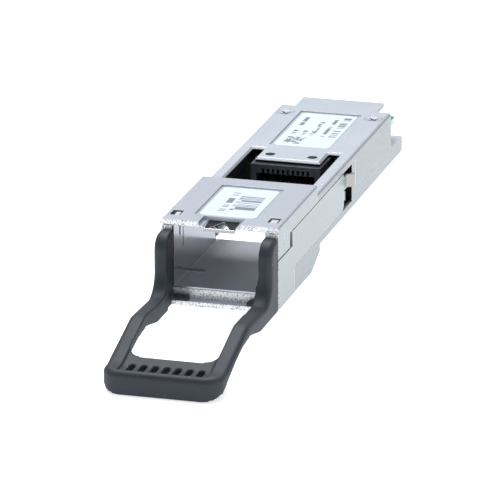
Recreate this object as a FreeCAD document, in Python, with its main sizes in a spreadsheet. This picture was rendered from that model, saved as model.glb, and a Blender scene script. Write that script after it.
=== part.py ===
import FreeCAD, Part
import os
import re

import Sketcher

# A pluggable adapter module for a network switch port. A die-cast body 18.35 mm wide carries a card edge at
# its rear and a bay at its front, and the bay takes a smaller plug-in module. A sheet-metal slider with a
# moulded pull handle runs along the outside and frees the module from its port.
# X is the width, +Y runs from the bay's mouth to the card edge and +Z is up. The sketches and blocks are laid
# out with Y = 0 on the head's front face and Z = 0 on the body's underside, and every finished piece is then
# shifted so that the origin is the middle of the bottom of the whole module's box.

doc = FreeCAD.newDocument("adapter_module")

# ---------------------------------------------------------------- driving dimensions, in millimetres

DIMENSIONS = [
    ("body_width", 18.35, "width of the body and of the head"),
    ("body_height", 8.5, "height of the rear body"),
    ("shell_length", 66.05, "head's front face to the end of the upper housing"),
    ("ledge_length", 7.05, "lower housing beyond the upper one, under the card edge"),
    ("ledge_height", 2.6, "parting line of the two housings above the underside"),
    ("ledge_floor", 1.5, "floor of the ledge between its side rails"),
    ("ledge_rail", 1.9, "width of each side rail of the ledge"),
    ("tab_length", 5.0, "tab of the upper housing above the card edge"),
    ("tab_width", 13.4, "width of that tab"),
    ("head_length", 21.8, "length of the taller head"),
    ("head_rise", 1.4, "head's top above the body's top"),
    ("head_drop", 2.95, "head's underside below the body's underside"),
    ("ramp_length", 5.0, "sloped end of the head's underside"),
    ("ramp_past", 1.4, "how far the slope runs past the head's top"),
    ("ramp_toe", 0.95, "depth of the slope's upper end below the body"),
    ("bay_width", 14.1, "clear width of the bay"),
    ("bay_sink", 0.45, "bay floor below the body's underside"),
    ("liner_sheet", 0.25, "sheet of the bay liner"),
    ("floor_slot_wide", 2.5, "width of each slot in the liner's floor"),
    ("floor_slot_start", 6.8, "front of those slots"),
    ("floor_slot_long", 1.8, "length of those slots"),
    ("relief_start", 4.7, "front of the relief cut in the liner's walls"),
    ("relief_wide", 0.3, "width of a relief cut"),
    ("relief_low", 4.2, "lower end of a relief cut"),
    ("relief_tall", 4.6, "height of a relief cut"),
    ("fit_gap", 0.05, "gap between pieces that are fixed together"),
    ("cover_sheet", 0.85, "roof of the head cover"),
    ("skin", 0.5, "sheet of the slider and side wall of the head cover"),
    ("slide_gap", 0.06, "running gap round the slider"),
    ("lid_thick", 0.65, "roof of the upper housing"),
    ("rail_depth", 1.25, "height of the upper housing's rails beside the window"),
    ("rear_wall", 0.85, "side wall of the rear body"),
    ("tray_floor", 0.8, "floor of the rear body"),
    ("rest_out", 7.6, "outer side of the two board rests, from the middle"),
    ("rest_wide", 1.4, "width of a board rest"),
    ("rest_start", 50.0, "front of the board rests"),
    ("rest_long", 2.0, "length of a board rest"),
    ("prop_wide", 8.0, "width of the rest under the connector"),
    ("prop_start", 38.5, "front of that rest"),
    ("prop_long", 3.5, "length of that rest"),
    ("window_end", 42.8, "rear end of the top window, from the front face"),
    ("floor_window_end", 36.2, "rear end of the opening in the underside"),
    ("wall_end", 44.25, "rear end of the thick side walls"),
    ("recess_end", 42.0, "rear end of the recesses that take the slider"),
    ("tongue_front", 37.6, "front edge of the tongue in the top window"),
    ("tongue_width", 10.4, "width of the tongue"),
    ("tongue_hole", 0.8, "radius of the two holes in the tongue"),
    ("tongue_hole_span", 6.8, "distance between those holes"),
    ("tongue_hole_back", 2.2, "those holes behind the tongue's front edge"),
    ("edge_bevel", 0.3, "bevel round the window"),
    ("corner_round", 0.5, "rounding of the body's long upper edges"),
    ("notch_width", 6.4, "notch in the head cover's front edge"),
    ("notch_depth", 3.0, "depth of that notch"),
    ("notch_sink", 0.6, "depth of the notch's shelf below the head's top"),
    ("leaf_width", 4.8, "width of the latch leaf"),
    ("leaf_sheet", 0.22, "sheet of the latch leaf"),
    ("leaf_fall", 0.4, "drop of the leaf from its root to its front bend"),
    ("leaf_lip", 0.45, "turned-down front edge of the leaf"),
    ("leaf_gap", 0.15, "gap at each side of the leaf"),
    ("leaf_front", 0.2, "leaf's bend behind the head's front face"),
    ("leaf_nose", 0.15, "turned-down edge ahead of that face"),
    ("catch_width", 3.3, "base of the leaf's triangular catch hole"),
    ("catch_length", 2.1, "length of the catch hole"),
    ("catch_start", 0.5, "base of the catch hole behind the head's front face"),
    ("snap_start", 2.3, "front of the cover's two snap holes"),
    ("snap_long", 2.3, "length of a snap hole"),
    ("snap_in", 0.3, "snap hole inside the bay's wall"),
    ("snap_out", 1.35, "snap hole outside the bay's wall"),
    ("snap_deep", 3.5, "pocket in the side wall under a snap hole"),
    ("tab_start", 2.6, "front of the liner's two tabs"),
    ("tab_long", 1.6, "length of a liner tab"),
    ("tab_fold", 1.05, "length of the right tab's fold"),
    ("tab_fold_left", 0.7, "length of the left tab's fold"),
    ("snap_wall", 0.2, "how much less the pocket under a snap hole reaches outwards"),
    ("tab_sunk", 0.15, "folded tabs below the head's top"),
    ("dimple_start", 2.9, "front of the dimple in the cover's sides"),
    ("dimple_long", 0.6, "length of that dimple"),
    ("dimple_drop", 3.5, "lower end of the dimple below the head's top"),
    ("dimple_tall", 2.0, "height of the dimple"),
    ("dimple_depth", 0.1, "depth of the dimple"),
    ("slider_low", 1.25, "lower edge of the slider's arms"),
    ("arm_gap", 0.2, "open gap above and ahead of the slider's arms"),
    ("tail_round", 1.2, "rounding of the arms' lower rear corner"),
    ("skirt_high", 4.7, "upper edge of the slider's front skirt"),
    ("skirt_length", 8.7, "length of the slider's front skirt"),
    ("skirt_gap", 0.3, "open gap above the skirt"),
    ("lip_step", 0.2, "step in the head's floor above the skirt's front edge"),
    ("lip_long", 1.2, "length of that step"),
    ("arm_lap", 0.8, "how far the arms start ahead of the skirt's end"),
    ("arm_end", 37.2, "rear end of the arms"),
    ("pull_travel", 1.4, "travel of the slider"),
    ("crossbar_reach", 1.6, "front bar of the slider ahead of the head"),
    ("crossbar_thick", 0.75, "thickness of that bar"),
    ("kicker_drop", 0.6, "kicker below the arms' upper edge"),
    ("kicker_tall", 2.05, "height of the kicker"),
    ("kicker_neck", 1.7, "straight neck between arm and kicker"),
    ("kicker_out", 1.05, "how far the kicker stands out"),
    ("kicker_run", 0.9, "length of the kicker's slope"),
    ("kicker_tip", 0.4, "length of the kicker's flat tip"),
    ("kicker_edge", 0.3, "thickness of that tip"),
    ("roll_radius", 0.45, "radius of the rolled lug under the kicker"),
    ("roll_gap", 0.4, "gap between the kicker and the rolled lug"),
    ("roll_back", 0.9, "rolled lug behind the arm's end"),
    ("roll_tall", 1.45, "height of the rolled lug"),
    ("pocket_depth", 1.15, "depth of the side pocket round the kicker"),
    ("pocket_gap", 0.35, "room ahead of the rolled lug when the slider is pulled"),
    ("spring_start", 24.5, "fixed front end of the return springs"),
    ("spring_length", 9.0, "length of a return spring at rest"),
    ("spring_radius", 0.5, "outer radius of a return spring"),
    ("spring_wire", 0.18, "wire of a return spring"),
    ("spring_high", 4.1, "height of the springs' axis"),
    ("lug_thick", 0.6, "inward lug of the slider behind each spring"),
    ("arm_depth", 3.85, "handle's upright arms, front to rear"),
    ("arm_wide", 2.1, "width of an upright arm of the handle"),
    ("arm_drop", 1.5, "tops of the handle's arms below the head's top"),
    ("handle_reach", 31.0, "handle's front edge ahead of the head"),
    ("foot_low", 3.14, "underside of the handle's foot below the body"),
    ("foot_end", 9.6, "where the foot's underside starts to rise"),
    ("crook_low", 0.55, "inner corner between upright arm and loop, below the body"),
    ("crest_reach", 15.6, "crest of the loop ahead of the head"),
    ("crest_low", 0.1, "crest of the loop below the body"),
    ("arch_reach", 14.6, "highest point of the loop's underside ahead of the head"),
    ("arch_low", 2.0, "highest point of the loop's underside below the body"),
    ("fall_reach", 19.0, "where the underside starts to fall"),
    ("fall_low", 2.45, "underside there, below the body"),
    ("sweep_reach", 22.5, "where the underside falls faster"),
    ("sweep_low", 3.45, "underside there, below the body"),
    ("bar_flat", 3.7, "depth of the end bar's flat top"),
    ("bar_root", 4.0, "depth of the end bar's steep underside"),
    ("bar_root_low", 5.15, "underside at the end bar's root, below the body"),
    ("crook_round", 3.2, "radius in the crook of each arm"),
    ("sweep_round", 5.0, "radius of the loop's gentle bends"),
    ("arm_top_round", 2.5, "radius of the arms' upper front corner"),
    ("bar_round", 0.9, "radius of the end bar's front edges"),
    ("loop_arm", 2.4, "width of the loop's side arms"),
    ("bar_depth", 6.4, "depth of the handle's end bar"),
    ("bar_top", 3.45, "top of the end bar below the body's underside"),
    ("bar_bottom", 7.1, "bottom of the end bar below the body's underside"),
    ("loop_corner", 3.0, "outer corner radius of the loop"),
    ("hole_corner", 2.4, "inner corner radius of the loop"),
    ("rim_depth", 0.4, "sunk panel in the end bar's top"),
    ("rim_wide", 1.2, "rim ahead of the sunk panel"),
    ("slot_wide", 0.9, "width of a grip slot in the end bar"),
    ("slot_long", 2.4, "length of a grip slot"),
    ("slot_pitch", 1.75, "pitch of the grip slots"),
    ("tang_reach", 2.5, "slider's tangs inside the handle's arms"),
    ("tang_low", 1.5, "lower edge of a tang below the body's underside"),
    ("tang_high", 3.5, "upper edge of a tang"),
    ("tang_sunk", 0.2, "plastic outside a tang"),
    ("toe_length", 2.5, "inward toe at the foot of each arm"),
    ("toe_tall", 0.6, "height of a toe"),
    ("board_thick", 1.0, "thickness of the circuit board"),
    ("board_sink", 3.43, "underside of the circuit board below the body's top"),
    ("board_wide", 16.42, "width of the board's card edge"),
    ("neck_gap", 0.2, "board's neck narrower than the bay"),
    ("board_start", 43.2, "front edge of the circuit board"),
    ("board_shoulder", 46.5, "where the board widens"),
    ("shoulder_run", 0.8, "length of the board's shoulder"),
    ("card_bevel", 0.5, "bevel of the card edge's corners"),
    ("board_reach", 6.25, "card edge beyond the upper housing"),
    ("pad_pitch", 0.8, "pitch of the card-edge pads and of the contacts"),
    ("pad_wide", 0.54, "width of a card-edge pad"),
    ("pad_long", 2.6, "length of a card-edge pad"),
    ("pad_back", 0.6, "pads inside the card edge's end"),
    ("pad_thick", 0.04, "thickness of a card-edge pad"),
    ("socket_wide", 11.2, "width of the connector housing"),
    ("socket_front", 36.4, "front face of the connector housing"),
    ("socket_deep", 6.7, "depth of the connector housing"),
    ("socket_under", 1.87, "connector housing below the board"),
    ("mouth_wide", 9.4, "mating slot of the connector"),
    ("mouth_tall", 1.7, "height of the mating slot"),
    ("mouth_deep", 5.0, "depth of the mating slot"),
    ("cavity_wide", 0.42, "width of a contact cavity"),
    ("cavity_tall", 0.75, "height of a contact cavity"),
    ("contact_wide", 0.3, "width of a contact"),
    ("contact_thick", 0.2, "thickness of a contact"),
    ("contact_in", 1.0, "contacts' tips inside the connector's face"),
    ("contact_tail", 1.8, "contacts' tails on the board"),
    ("screw_inset", 1.925, "screws inside the body's sides"),
    ("screw_back", 3.95, "screws ahead of the upper housing's end"),
    ("screw_head", 1.55, "radius of a screw's flush head"),
    ("screw_shank", 0.8, "radius of a screw's shank"),
    ("screw_length", 4.0, "length of a screw"),
    ("screw_room", 0.3, "screw hole deeper than the screw"),
    ("dish_base", 0.35, "radius of the bottom of the dish in a screw's head"),
    ("dish_rim", 0.25, "rim round that dish"),
    ("dish_deep", 0.22, "depth of that dish"),
    ("post_radius", 1.5, "radius of the posts that take the screws"),
    ("post_gap", 0.15, "gap between a post and the board"),
    ("recess_depth", 0.25, "depth of the two label recesses"),
    ("label_thick", 0.08, "thickness of a label"),
    ("label_gap", 0.5, "label's edge inside its recess"),
    ("front_recess_wide", 9.8, "width of the head's label recess"),
    ("front_recess_start", 3.5, "front of the head's label recess"),
    ("front_recess_back", 3.3, "that recess's end ahead of the head's rear"),
    ("rear_recess_wide", 10.0, "width of the rear label recess"),
    ("rear_recess_start", 44.8, "front of the rear label recess"),
    ("rear_recess_back", 2.45, "that recess's end ahead of the upper housing's end"),
    ("chip_start", 52.5, "front of the microcontroller"),
    ("chip_size", 4.0, "side of the microcontroller"),
    ("chip_tall", 0.85, "height of the microcontroller"),
    ("memory_wide", 2.1, "width of the identity memory"),
    ("memory_long", 3.0, "length of the identity memory"),
    ("memory_tall", 0.75, "height of the identity memory"),
    ("chip_gap", 1.9, "gap between the two chips"),
    ("cap_wide", 0.5, "width and height of a coupling capacitor"),
    ("cap_long", 1.0, "length of a coupling capacitor"),
    ("cap_pitch", 1.2, "pitch of the coupling capacitors"),
    ("cap_back", 9.3, "coupling capacitors ahead of the card edge's end"),
]

sheet = doc.addObject("Spreadsheet::Sheet", "Dims")
for row, (alias, value, meaning) in enumerate(DIMENSIONS, 1):
    sheet.set(f"A{row}", meaning)
    sheet.set(f"B{row}", str(value))
    sheet.setAlias(f"B{row}", alias)
doc.recompute()

ALIASES = {alias for alias, _, _ in DIMENSIONS}

# Places that several pieces share, each worked out from the driving dimensions.
SHARED = {
    "half_width": "body_width/2",
    "core_half": "(body_width/2 - skin - slide_gap)",
    "head_top": "(body_height + head_rise)",
    "roof_under": "(body_height + head_rise - cover_sheet)",
    "ramp_end": "(head_length + ramp_past)",
    "body_end": "(shell_length + ledge_length)",
    "slider_high": "(body_height - rail_depth - arm_gap)",
    "arm_start": "(skirt_length - arm_lap)",
    "kicker_low": "(body_height - rail_depth - arm_gap - kicker_drop - kicker_tall)",
    "roll_low": "(body_height - rail_depth - arm_gap - kicker_drop - kicker_tall - roll_gap - roll_tall)",
    "pocket_start": "(arm_end + roll_back - roll_radius - pull_travel - pocket_gap)",
    "arm_top": "(body_height + head_rise - arm_drop)",
    "dimple_low": "(body_height + head_rise - dimple_drop)",
    "board_level": "(body_height - board_sink)",
    "board_top": "(body_height - board_sink + board_thick)",
    "board_neck": "(bay_width - neck_gap)",
    "board_end": "(shell_length + board_reach)",
    "socket_top": "(body_height - lid_thick - fit_gap)",
    "socket_low": "(body_height - board_sink - socket_under)",
    "screw_x": "(body_width/2 - screw_inset)",
    "front_recess_end": "(head_length - front_recess_back)",
    "rear_recess_end": "(shell_length - rear_recess_back)",
    "cavity_half": "(bay_width/2 + liner_sheet + fit_gap)",
    "cavity_floor": "(0 - bay_sink - liner_sheet - fit_gap)",
    "wall_top": "(body_height - rail_depth - fit_gap)",
    "arm_front": "(skirt_length - arm_lap - pull_travel - arm_gap)",
    "mouth_middle": "(body_height - board_sink + board_thick/2)",
    "spring_out": "(body_width/2 - skin - slide_gap - spring_radius - fit_gap)",
    "spring_end": "(spring_start + spring_length)",
    "screw_y": "(shell_length - screw_back)",
    "origin_y": "((body_end - handle_reach)/2)",
    "origin_z": "(0 - bar_bottom)",
}


def formula(text):
    """The text with its shared places filled in and its aliases pointing at the sheet."""
    text = str(text)
    for _ in range(3):
        text = re.sub(r"\b[a-z_]+\b", lambda m: SHARED.get(m.group(0), m.group(0)), text)
    return re.sub(r"\b[a-z_]+\b",
                  lambda m: "Dims." + m.group(0) if m.group(0) in ALIASES else m.group(0), text)


def number(text):
    """The present value of a formula, in millimetres."""
    return float(sheet.evalExpression(formula(text)))


def bind(thing, **formulas):
    """Binds properties of an object to formulas; a double underscore in a name stands for a dot."""
    for name, text in formulas.items():
        thing.setExpression(name.replace("__", "."), formula(text))
    return thing


# ---------------------------------------------------------------- ways of building

def plane(body, role):
    return next(f for f in body.Origin.OriginFeatures if f.Role == role)


def new_body(name):
    return doc.addObject("PartDesign::Body", name)


def box_feature(body, kind, name, x, y, z):
    """A PartDesign box between two formulas on each axis."""
    made = body.newObject("PartDesign::" + kind, name)
    made.AttachmentSupport = [(plane(body, "XY_Plane"), "")]
    made.MapMode = "FlatFace"
    bind(
        made,
        Length=f"({x[1]}) - ({x[0]})",
        Width=f"({y[1]}) - ({y[0]})",
        Height=f"({z[1]}) - ({z[0]})",
        AttachmentOffset__Base__x=x[0],
        AttachmentOffset__Base__y=y[0],
        AttachmentOffset__Base__z=z[0],
    )
    doc.recompute()
    return made


def add_box(body, name, x, y, z):
    return box_feature(body, "AdditiveBox", name, x, y, z)


def cut_box(body, name, x, y, z):
    return box_feature(body, "SubtractiveBox", name, x, y, z)


def mirrored(span):
    """The same stretch of X on the other side of the middle plane."""
    return (f"0 - ({span[1]})", f"0 - ({span[0]})")


def add_boxes(body, name, x, y, z):
    add_box(body, name + "_right", x, y, z)
    add_box(body, name + "_left", mirrored(x), y, z)


def cut_boxes(body, name, x, y, z):
    cut_box(body, name + "_right", x, y, z)
    cut_box(body, name + "_left", mirrored(x), y, z)


def cylinder_feature(body, kind, name, radius, x, y, z):
    """An upright PartDesign cylinder; z is its lower and upper end."""
    made = body.newObject("PartDesign::" + kind, name)
    made.AttachmentSupport = [(plane(body, "XY_Plane"), "")]
    made.MapMode = "FlatFace"
    bind(
        made,
        Radius=radius,
        Height=f"({z[1]}) - ({z[0]})",
        AttachmentOffset__Base__x=x,
        AttachmentOffset__Base__y=y,
        AttachmentOffset__Base__z=z[0],
    )
    doc.recompute()
    return made


def outline(body, name, role, points, level="0"):
    """A sketch of straight lines through the points, each point held by two bound distances."""
    sketch = body.newObject("Sketcher::SketchObject", name)
    sketch.AttachmentSupport = [(plane(body, role), "")]
    sketch.MapMode = "FlatFace"
    bind(sketch, AttachmentOffset__Base__z=level)
    places = [FreeCAD.Vector(number(u), number(v), 0) for u, v in points]
    for start, end in zip(places, places[1:] + places[:1]):
        sketch.addGeometry(Part.LineSegment(start, end), False)
    last = len(points) - 1
    for i in range(len(points)):
        sketch.addConstraint(Sketcher.Constraint("Coincident", i, 2, (i + 1) if i < last else 0, 1))
    for i, (u, v) in enumerate(points):
        for kind, text, place in (("DistanceX", u, places[i].x), ("DistanceY", v, places[i].y)):
            index = sketch.addConstraint(Sketcher.Constraint(kind, -1, 1, i, 1, place))
            sketch.renameConstraint(index, f"{kind}_{i}")
            bind(sketch, **{f"Constraints__{kind}_{i}": text})
    doc.recompute()
    return sketch


def pad(body, name, sketch, length, both_ways=False):
    made = body.newObject("PartDesign::Pad", name)
    made.Profile = sketch
    bind(made, Length=length)
    if both_ways:
        made.SideType = "Symmetric"
    doc.recompute()
    return made


def pocket(body, name, sketch, length, both_ways=False):
    made = body.newObject("PartDesign::Pocket", name)
    made.Profile = sketch
    bind(made, Length=length)
    if both_ways:
        made.SideType = "Symmetric"
    before = body.Shape.Volume
    doc.recompute()
    if body.Shape.Volume > before - 1e-6:
        raise SystemExit(f"{name} cuts nothing")
    return made


def edges_where(body, test):
    """The names of the edges whose middle point and direction pass the test."""
    found = []
    for i, edge in enumerate(body.Tip.Shape.Edges, 1):
        middle = edge.valueAt((edge.FirstParameter + edge.LastParameter) / 2)
        along = edge.lastVertex().Point - edge.firstVertex().Point
        if along.Length > 1e-9 and test(middle, along.normalize()):
            found.append(f"Edge{i}")
    return found


def round_edges(body, name, test, radius):
    base, found = body.Tip, edges_where(body, test)
    made = body.newObject("PartDesign::Fillet", name)
    made.Base = (base, found)
    bind(made, Radius=radius)
    doc.recompute()
    return made


def bevel_edges(body, name, test, size):
    base, found = body.Tip, edges_where(body, test)
    made = body.newObject("PartDesign::Chamfer", name)
    made.Base = (base, found)
    bind(made, Size=size)
    doc.recompute()
    return made


def near(value, text, slack=0.02):
    return abs(value - number(text)) < slack


FINISHED = []


def finish(node, thing):
    """Names the piece, and shifts it so that the origin is the middle of the bottom of the module's box."""
    thing.Label = node
    bind(thing, Placement__Base__y="0 - origin_y", Placement__Base__z="0 - origin_z")
    FINISHED.append(thing)


def block(name, x, y, z):
    """A Part box between two formulas on each axis."""
    made = doc.addObject("Part::Box", name)
    return bind(
        made,
        Length=f"({x[1]}) - ({x[0]})",
        Width=f"({y[1]}) - ({y[0]})",
        Height=f"({z[1]}) - ({z[0]})",
        Placement__Base__x=x[0],
        Placement__Base__y=y[0],
        Placement__Base__z=z[0],
    )


def group(name, members):
    made = doc.addObject("Part::Compound", name)
    made.Links = members
    return made


ALONG_X = FreeCAD.Vector(1, 0, 0)
ALONG_Y = FreeCAD.Vector(0, 1, 0)
ALONG_Z = FreeCAD.Vector(0, 0, 1)


def parallel(along, axis):
    return abs(abs(along.dot(axis)) - 1) < 1e-4


# ---------------------------------------------------------------- die-cast housings

def lower_housing():
    """The die-cast tray: the head's floor and walls, the rear body's floor and the ledge under the card edge."""
    body = new_body("LowerHousing")
    side = [
        ("0", "0 - head_drop"),
        ("ramp_end - ramp_length", "0 - head_drop"),
        ("ramp_end", "0 - ramp_toe"),
        ("ramp_end", "0"),
        ("body_end", "0"),
        ("body_end", "ledge_height"),
        ("wall_end - fit_gap", "ledge_height"),
        ("wall_end - fit_gap", "wall_top"),
        ("head_length - fit_gap", "wall_top"),
        ("head_length - fit_gap", "roof_under - fit_gap"),
        ("0", "roof_under - fit_gap"),
    ]
    pad(body, "lower_pad", outline(body, "lower_side", "YZ_Plane", side), "body_width", both_ways=True)
    round_edges(
        body, "lower_edges",
        lambda middle, along: parallel(along, ALONG_Y) and near(abs(middle.x), "half_width")
        and near(middle.z, "0"),
        "corner_round/2",
    )
    inside = ("0 - bay_width/2 - fit_gap", "bay_width/2 + fit_gap")
    rear_inside = ("rear_wall - half_width", "half_width - rear_wall")
    cut_box(body, "bay", ("0 - cavity_half", "cavity_half"), ("0 - 1", "ramp_end"),
            ("cavity_floor", "head_top"))
    cut_box(body, "floor_window", inside, ("ramp_end", "floor_window_end"), ("0 - 1", "head_top"))
    cut_box(body, "socket_room", inside, ("floor_window_end", "wall_end"), ("tray_floor", "head_top"))
    cut_box(body, "tray", rear_inside, ("wall_end - fit_gap", "shell_length - rear_wall"),
            ("tray_floor", "head_top"))
    rails = ("ledge_rail - half_width", "half_width - ledge_rail")
    cut_box(body, "ledge_pocket", rails, ("shell_length", "body_end + 1"), ("ledge_floor", "head_top"))
    outer = ("core_half", "half_width + 1")
    under = "0 - head_drop - 1"
    cut_boxes(body, "skirt_room", outer, ("0 - 1", "skirt_length + fit_gap"), (under, "head_top"))
    cut_boxes(body, "arm_room", outer, ("skirt_length - 1", "recess_end"),
              ("slider_low - slide_gap", "head_top"))
    pocket_x = ("half_width - pocket_depth", "half_width + 1")
    pocket_z = ("slider_low + slide_gap", "head_top")
    cut_boxes(body, "kicker_room", pocket_x, ("pocket_start", "recess_end"), pocket_z)
    cut_boxes(body, "snap_room", ("cavity_half - 0.1", "bay_width/2 + snap_out - snap_wall"),
              ("snap_start", "snap_start + snap_long"), ("roof_under - snap_deep", "head_top"))
    everywhere = ("0 - half_width - 1", "half_width + 1")
    lifted = "skin + slide_gap - head_drop"
    cut_box(body, "plate_room", everywhere, ("0 - 1", "skirt_length + fit_gap"), (under, lifted))
    cut_box(body, "lip_shadow", everywhere, ("0 - 1", "lip_long"), (under, f"{lifted} + lip_step"))
    channel_x = ("spring_out - spring_radius - slide_gap", "half_width")
    channel_y = ("spring_start", "spring_end + lug_thick + slide_gap")
    channel_z = ("spring_high - spring_radius - slide_gap", "spring_high + spring_radius + slide_gap")
    cut_boxes(body, "spring_room", channel_x, channel_y, channel_z)
    add_boxes(body, "board_rest", ("rest_out - rest_wide", "rest_out"),
              ("rest_start", "rest_start + rest_long"),
              ("tray_floor/2", "board_level - fit_gap"))
    add_box(body, "socket_rest", ("0 - prop_wide/2", "prop_wide/2"), ("prop_start", "prop_start + prop_long"),
            ("tray_floor/2", "socket_low - fit_gap"))
    lid_under = "body_height - lid_thick - fit_gap"
    for sign, name in (("", "right"), ("0 - ", "left")):
        x = f"{sign}screw_x"
        cylinder_feature(body, "AdditiveCylinder", f"post_{name}", "post_radius", x, "screw_y",
                         ("tray_floor/2", lid_under))
    cut_boxes(body, "lid_wall_room", ("half_width - rear_wall - fit_gap", "half_width + 1"),
              ("wall_end - fit_gap", "shell_length"), ("ledge_height", "head_top"))
    for sign, name in (("", "right"), ("0 - ", "left")):
        x = f"{sign}screw_x"
        cylinder_feature(body, "SubtractiveCylinder", f"post_hole_{name}", "screw_shank", x, "screw_y",
                         ("body_height - screw_length - screw_room", "body_height"))
    finish("lower_housing", body)


def upper_housing():
    """The die-cast lid of the rear body, with the window, its tongue and the tab over the card edge."""
    body = new_body("UpperHousing")
    start = "head_length + fit_gap"
    lid_z = ("body_height - lid_thick", "body_height")
    rail_z = ("body_height - rail_depth", "body_height")
    add_box(body, "lid", ("0 - half_width", "half_width"), (start, "shell_length"), lid_z)
    add_boxes(body, "rail", ("bay_width/2", "half_width"), (start, "wall_end"), rail_z)
    wall_z = ("ledge_height + fit_gap", "body_height")
    add_boxes(body, "wall", ("half_width - rear_wall", "half_width"), ("wall_end", "shell_length"), wall_z)
    cut_box(body, "window", ("0 - bay_width/2", "bay_width/2"), ("0", "tongue_front"), ("0", "head_top"))
    cut_boxes(body, "tongue_side", ("tongue_width/2", "bay_width/2"), ("tongue_front - 0.1", "window_end"),
              ("0", "head_top"))
    top = number("body_height")
    bevel_edges(
        body, "window_bevel",
        lambda middle, along: near(middle.z, "body_height") and abs(middle.x) < number("bay_width/2 + 0.01")
        and number(start) + 0.1 < middle.y < number("window_end + 0.01"),
        "edge_bevel",
    )
    round_edges(
        body, "upper_edges",
        lambda middle, along: parallel(along, ALONG_Y) and near(abs(middle.x), "half_width")
        and abs(middle.z - top) < 0.02,
        "corner_round",
    )
    tab_x = ("0 - tab_width/2", "tab_width/2")
    add_box(body, "tab", tab_x, ("shell_length - 0.1", "shell_length + tab_length"), lid_z)
    recess_x = ("0 - rear_recess_wide/2", "rear_recess_wide/2")
    recess_y = ("rear_recess_start", "rear_recess_end")
    cut_box(body, "label_recess", recess_x, recess_y, ("body_height - recess_depth", "head_top"))
    for sign, name in (("", "right"), ("0 - ", "left")):
        cylinder_feature(body, "SubtractiveCylinder", f"tongue_hole_{name}", "tongue_hole",
                         f"{sign}tongue_hole_span/2", "tongue_front + tongue_hole_back", ("0", "head_top"))
        cylinder_feature(body, "SubtractiveCylinder", f"head_seat_{name}", "screw_head",
                         f"{sign}screw_x", "screw_y", ("body_height - lid_thick/2", "head_top"))
        cylinder_feature(body, "SubtractiveCylinder", f"shank_hole_{name}", "screw_shank + 2*fit_gap",
                         f"{sign}screw_x", "screw_y", ("0", "head_top"))
    finish("upper_housing", body)


def head_cover():
    """The roof and upper sides of the head, with the latch notch, two snap holes and a label recess."""
    body = new_body("HeadCover")
    add_box(body, "roof", ("0 - half_width", "half_width"), ("0", "head_length"), ("roof_under", "head_top"))
    side_x = ("half_width - skin", "half_width")
    add_boxes(body, "front_side", side_x, ("0", "arm_front"), ("skirt_high + skirt_gap", "head_top"))
    add_boxes(body, "rear_side", side_x, ("arm_front - 0.1", "head_length"),
              ("slider_high + arm_gap", "head_top"))
    cut_box(body, "notch", ("0 - notch_width/2", "notch_width/2"), ("0 - 1", "notch_depth"),
            ("head_top - notch_sink", "head_top + 1"))
    cut_box(body, "notch_low", ("0 - leaf_width/2 - leaf_gap", "leaf_width/2 + leaf_gap"),
            ("0 - 1", "notch_depth"),
            ("0", "head_top"))
    cut_boxes(body, "snap_hole", ("bay_width/2 - snap_in", "bay_width/2 + snap_out"),
              ("snap_start", "snap_start + snap_long"), ("body_height", "head_top"))
    cut_boxes(body, "side_dimple", ("half_width - dimple_depth", "half_width + 1"),
              ("dimple_start", "dimple_start + dimple_long"), ("dimple_low", "dimple_low + dimple_tall"))
    recess_x = ("0 - front_recess_wide/2", "front_recess_wide/2")
    recess_y = ("front_recess_start", "front_recess_end")
    cut_box(body, "label_recess", recess_x, recess_y, ("head_top - recess_depth", "head_top + 1"))
    round_edges(
        body, "cover_edges",
        lambda middle, along: parallel(along, ALONG_Y) and near(abs(middle.x), "half_width")
        and near(middle.z, "head_top"),
        "corner_round*0.8",
    )
    finish("head_cover", body)


# ---------------------------------------------------------------- bay

def bay_liner():
    """The folded sheet that lines the bay. Two tabs pass up through the cover and are bent over."""
    body = new_body("BayLiner")
    wall = ("bay_width/2", "bay_width/2 + liner_sheet")
    floor_z = ("0 - bay_sink - liner_sheet", "0 - bay_sink")
    across = ("0 - bay_width/2 - liner_sheet", "bay_width/2 + liner_sheet")
    add_box(body, "floor", across, ("fit_gap", "ramp_end - fit_gap"), floor_z)
    wall_z = ("0 - bay_sink - liner_sheet", "roof_under - fit_gap")
    add_boxes(body, "wall", wall, ("fit_gap", "head_length - 2*fit_gap"), wall_z)
    tab_y = ("tab_start", "tab_start + tab_long")
    add_boxes(body, "tab", wall, tab_y, ("roof_under - 0.2", "head_top - tab_sunk"))
    bend_z = ("head_top - tab_sunk - liner_sheet", "head_top - tab_sunk")
    add_box(body, "bend_right", ("bay_width/2", "bay_width/2 + tab_fold"), tab_y, bend_z)
    add_box(body, "bend_left", ("0 - bay_width/2 - tab_fold_left", "0 - bay_width/2"), tab_y, bend_z)
    cut_boxes(body, "floor_slot", ("bay_width/2 - floor_slot_wide", "bay_width/2"),
              ("floor_slot_start", "floor_slot_start + floor_slot_long"), ("0 - 2", "0"))
    cut_boxes(body, "spring_slot", ("bay_width/2 - 1", "bay_width/2 + 1"),
              ("dimple_start", "dimple_start + dimple_long"), ("dimple_low", "dimple_low + dimple_tall"))
    cut_boxes(body, "relief", ("bay_width/2 - 1", "bay_width/2 + 1"),
              ("relief_start", "relief_start + relief_wide"), ("relief_low", "relief_low + relief_tall"))
    finish("bay_liner", body)


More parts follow.
